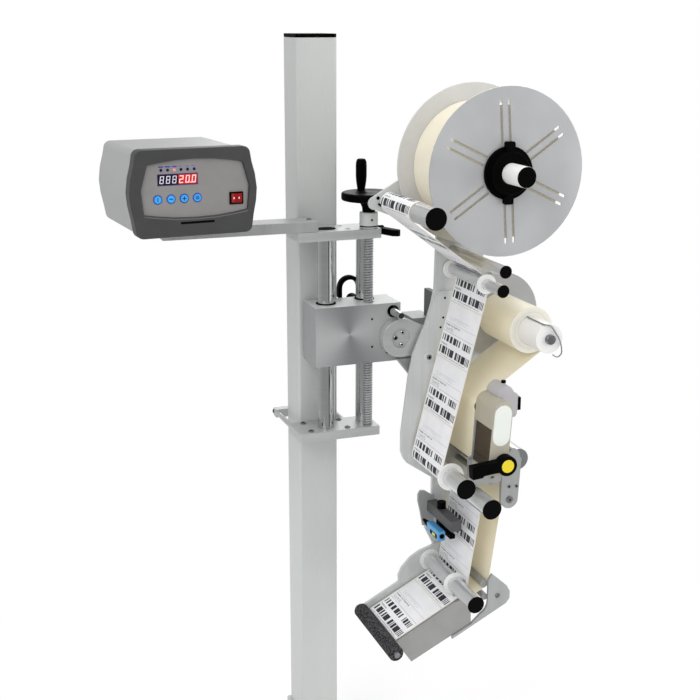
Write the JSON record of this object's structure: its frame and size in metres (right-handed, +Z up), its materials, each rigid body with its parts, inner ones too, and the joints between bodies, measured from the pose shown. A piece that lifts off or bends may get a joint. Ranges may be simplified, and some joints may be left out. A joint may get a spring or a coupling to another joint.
{
  "type": "label applicator",
  "caption": "Free-standing label applicator: a column with a height slide carries a tilting labelling head with a reel, guide rollers, peel beak, rewinder and a control box.",
  "frame": {"origin": "on the floor, at the middle of the pad under the column axis", "axes": "+Z up along the column, -Y towards the operator, +X towards the labelling head"},
  "size_m": [0.8175, 0.501, 1.565],
  "materials": {
    "base_paint": "light grey powder coat",
    "light_paint": "light grey coated profile",
    "satin_aluminium": "satin, milled",
    "light_aluminium": "fine blasted, light grey",
    "grey_aluminium": "satin, in shade",
    "dark_aluminium": "charcoal coat",
    "chrome_rod": "polished",
    "screw_steel": "bright turned",
    "polished_roller": "polished, black end caps",
    "black_plastic": "black, light grain",
    "white_plastic": "white",
    "disc_plastic": "pale grey, translucent",
    "bezel_plastic": "dark grey",
    "panel_plastic": "taupe grey",
    "housing_paint": "light grey paint",
    "display_window": "dark window with lit digits",
    "button_blue": "light blue",
    "red_plastic": "red",
    "blue_plastic": "light blue",
    "roller_rubber": "black, ground",
    "foam": "charcoal foam",
    "liner_paper": "cream release liner",
    "label_paper": null
  },
  "bodies": {
    "stand": {"base_frame": "base_paint", "column": "light_paint", "column_cap": "black_plastic", "clamp_plate_lower": "satin_aluminium", "clamp_bar": "satin_aluminium", "clamp_plate_upper": "satin_aluminium", "guide_rod_left": "chrome_rod", "guide_rod_right": "chrome_rod", "screw_collar": "white_plastic", "bracket_bar": "satin_aluminium", "control_housing": "housing_paint", "control_bezel": "bezel_plastic", "control_panel": "panel_plastic", "display": "display_window"},
    "screw": {"lead_screw": "screw_steel", "handwheel": "black_plastic"},
    "grip": {"crank_grip": "black_plastic"},
    "plate_lever": {"plate_lever": "black_plastic"},
    "carriage": {"slide_block": "satin_aluminium"},
    "block_lever": {"block_lever": "black_plastic"},
    "head": {"tilt_knuckle": "satin_aluminium", "rear_bracket": "grey_aluminium", "chassis_plate": "light_aluminium", "unwind_arm": "light_aluminium", "reel_shaft": "white_plastic", "drive_housing": "light_aluminium", "drive_motor": "light_aluminium", "sensor_holder": "dark_aluminium", "photocell": "blue_plastic", "beak_body": "light_aluminium", "beak_side_front": "satin_aluminium", "label_web": "label_paper"},
    "reel": {"flange_rear": "disc_plastic", "flange_front": "disc_plastic", "hub_nut": "black_plastic", "label_roll": "liner_paper"},
    "feed_roller": {"roller_feed": "polished_roller"},
    "upper_roller": {"roller_upper": "polished_roller"},
    "tray_roller": {"roller_tray": "polished_roller"},
    "lower_roller": {"roller_lower": "polished_roller"},
    "cross_roller": {"roller_cross": "polished_roller"},
    "beak_roller": {"roller_beak": "polished_roller"},
    "turn_roller": {"roller_turn": "polished_roller"},
    "guide_roller": {"roller_guide": "polished_roller"},
    "drive_roller": {"drive_roller": "roller_rubber"},
    "pressure_roller": {"pressure_roller": "polished_roller"},
    "foam_roller": {"foam_roller": "foam"},
    "rewinder": {"rewind_hub": "white_plastic", "liner_roll": "liner_paper", "wire_clip": "screw_steel"},
    "nip_lever": {"nip_lever": "black_plastic"},
    "nip_arm": {"nip_arm": "satin_aluminium"},
    "sensor_knob": {"sensor_knob": "black_plastic"},
    "button_1": {"button_1": "button_blue"},
    "button_2": {"button_2": "button_blue"},
    "button_3": {"button_3": "button_blue"},
    "button_4": {"button_4": "button_blue"},
    "rocker": {"rocker_switch": "red_plastic"}
  },
  "joints": [
    {"name": "height", "type": "slide", "parent": "stand", "child": "carriage", "axis": [0, 0, 1], "range_m": [-0.115, 0.115]},
    {"name": "handwheel_turn", "type": "hinge", "parent": "stand", "child": "screw", "pos_m": [0.0832, -0.096, 1.23], "axis": [0, 0, 1], "continuous": true},
    {"name": "grip_turn", "type": "hinge", "parent": "screw", "child": "grip", "pos_m": [0.0832, -0.055, 1.3], "axis": [0, 0, 1], "continuous": true},
    {"name": "plate_lever_swing", "type": "hinge", "parent": "stand", "child": "plate_lever", "pos_m": [0.11, -0.0763, 1.201], "axis": [-1, 0, 0], "range_deg": [0, 60]},
    {"name": "block_lever_swing", "type": "hinge", "parent": "carriage", "child": "block_lever", "pos_m": [0.077, -0.03, 1.056], "axis": [0, 1, 0], "range_deg": [0, 60]},
    {"name": "head_tilt", "type": "hinge", "parent": "carriage", "child": "head", "pos_m": [0.1345, -0.122, 1], "axis": [0, 1, 0], "range_deg": [-12, 12]},
    {"name": "reel_turn", "type": "hinge", "parent": "head", "child": "reel", "pos_m": [0.2647, -0.23, 1.3302], "axis": [0, 1, 0], "continuous": true},
    {"name": "feed_roller_turn", "type": "hinge", "parent": "head", "child": "feed_roller", "pos_m": [0.1001, -0.26, 1.266], "axis": [0, 1, 0], "continuous": true},
    {"name": "upper_roller_turn", "type": "hinge", "parent": "head", "child": "upper_roller", "pos_m": [0.2347, -0.26, 1.1662], "axis": [0, 1, 0], "continuous": true},
    {"name": "tray_roller_turn", "type": "hinge", "parent": "head", "child": "tray_roller", "pos_m": [0.2312, -0.26, 1.1319], "axis": [0, 1, 0], "continuous": true},
    {"name": "lower_roller_turn", "type": "hinge", "parent": "head", "child": "lower_roller", "pos_m": [0.1707, -0.26, 0.7699], "axis": [0, 1, 0], "continuous": true},
    {"name": "cross_roller_turn", "type": "hinge", "parent": "head", "child": "cross_roller", "pos_m": [0.2243, -0.26, 0.723], "axis": [0, 1, 0], "continuous": true},
    {"name": "beak_roller_turn", "type": "hinge", "parent": "head", "child": "beak_roller", "pos_m": [0.1976, -0.26, 0.5356], "axis": [0, 1, 0], "continuous": true},
    {"name": "turn_roller_turn", "type": "hinge", "parent": "head", "child": "turn_roller", "pos_m": [0.229, -0.26, 0.9], "axis": [0, 1, 0], "continuous": true},
    {"name": "guide_roller_turn", "type": "hinge", "parent": "head", "child": "guide_roller", "pos_m": [0.225, -0.26, 0.803], "axis": [0, 1, 0], "continuous": true},
    {"name": "drive_roller_turn", "type": "hinge", "parent": "head", "child": "drive_roller", "pos_m": [0.266, -0.228, 0.785], "axis": [0, 1, 0], "continuous": true},
    {"name": "nip_lever_swing", "type": "hinge", "parent": "head", "child": "nip_lever", "pos_m": [0.242, -0.382, 0.813], "axis": [0, 1, 0], "range_deg": [0, 90]},
    {"name": "nip_arm_swing", "type": "hinge", "parent": "head", "child": "nip_arm", "pos_m": [0.2925, -0.23, 0.71], "axis": [0, 1, 0], "range_deg": [0, 6]},
    {"name": "pressure_roller_turn", "type": "hinge", "parent": "nip_arm", "child": "pressure_roller", "pos_m": [0.3132, -0.228, 0.785], "axis": [0, 1, 0], "continuous": true},
    {"name": "foam_roller_turn", "type": "hinge", "parent": "head", "child": "foam_roller", "pos_m": [0.0487, -0.25, 0.4487], "axis": [0, 1, 0], "continuous": true},
    {"name": "rewinder_turn", "type": "hinge", "parent": "head", "child": "rewinder", "pos_m": [0.332, -0.245, 1.035], "axis": [0, 1, 0], "continuous": true},
    {"name": "sensor_knob_turn", "type": "hinge", "parent": "head", "child": "sensor_knob", "pos_m": [0.2, -0.2005, 0.67], "axis": [0, 0, 1], "range_deg": [0, 300]},
    {"name": "button_1_press", "type": "slide", "parent": "stand", "child": "button_1", "axis": [-0.0879, 0.9961, 0], "range_m": [0, 0.0008], "stiffness_N_per_m": 800},
    {"name": "button_2_press", "type": "slide", "parent": "stand", "child": "button_2", "axis": [-0.0879, 0.9961, 0], "range_m": [0, 0.0008], "stiffness_N_per_m": 800},
    {"name": "button_3_press", "type": "slide", "parent": "stand", "child": "button_3", "axis": [-0.0879, 0.9961, 0], "range_m": [0, 0.0008], "stiffness_N_per_m": 800},
    {"name": "button_4_press", "type": "slide", "parent": "stand", "child": "button_4", "axis": [-0.0879, 0.9961, 0], "range_m": [0, 0.0008], "stiffness_N_per_m": 800},
    {"name": "rocker_switch_tilt", "type": "hinge", "parent": "stand", "child": "rocker", "pos_m": [-0.19619, -0.18273, 1.2911], "axis": [0, 0, 1], "range_deg": [-5, 5]}
  ],
  "couplings": [
    {"joint": "handwheel_turn", "follows": "height", "rad_per_m": 628.32},
    {"joint": "pressure_roller_turn", "follows": "drive_roller_turn", "ratio": -1.1905},
    {"joint": "nip_arm_swing", "follows": "nip_lever_swing", "ratio": 0.066667}
  ]
}
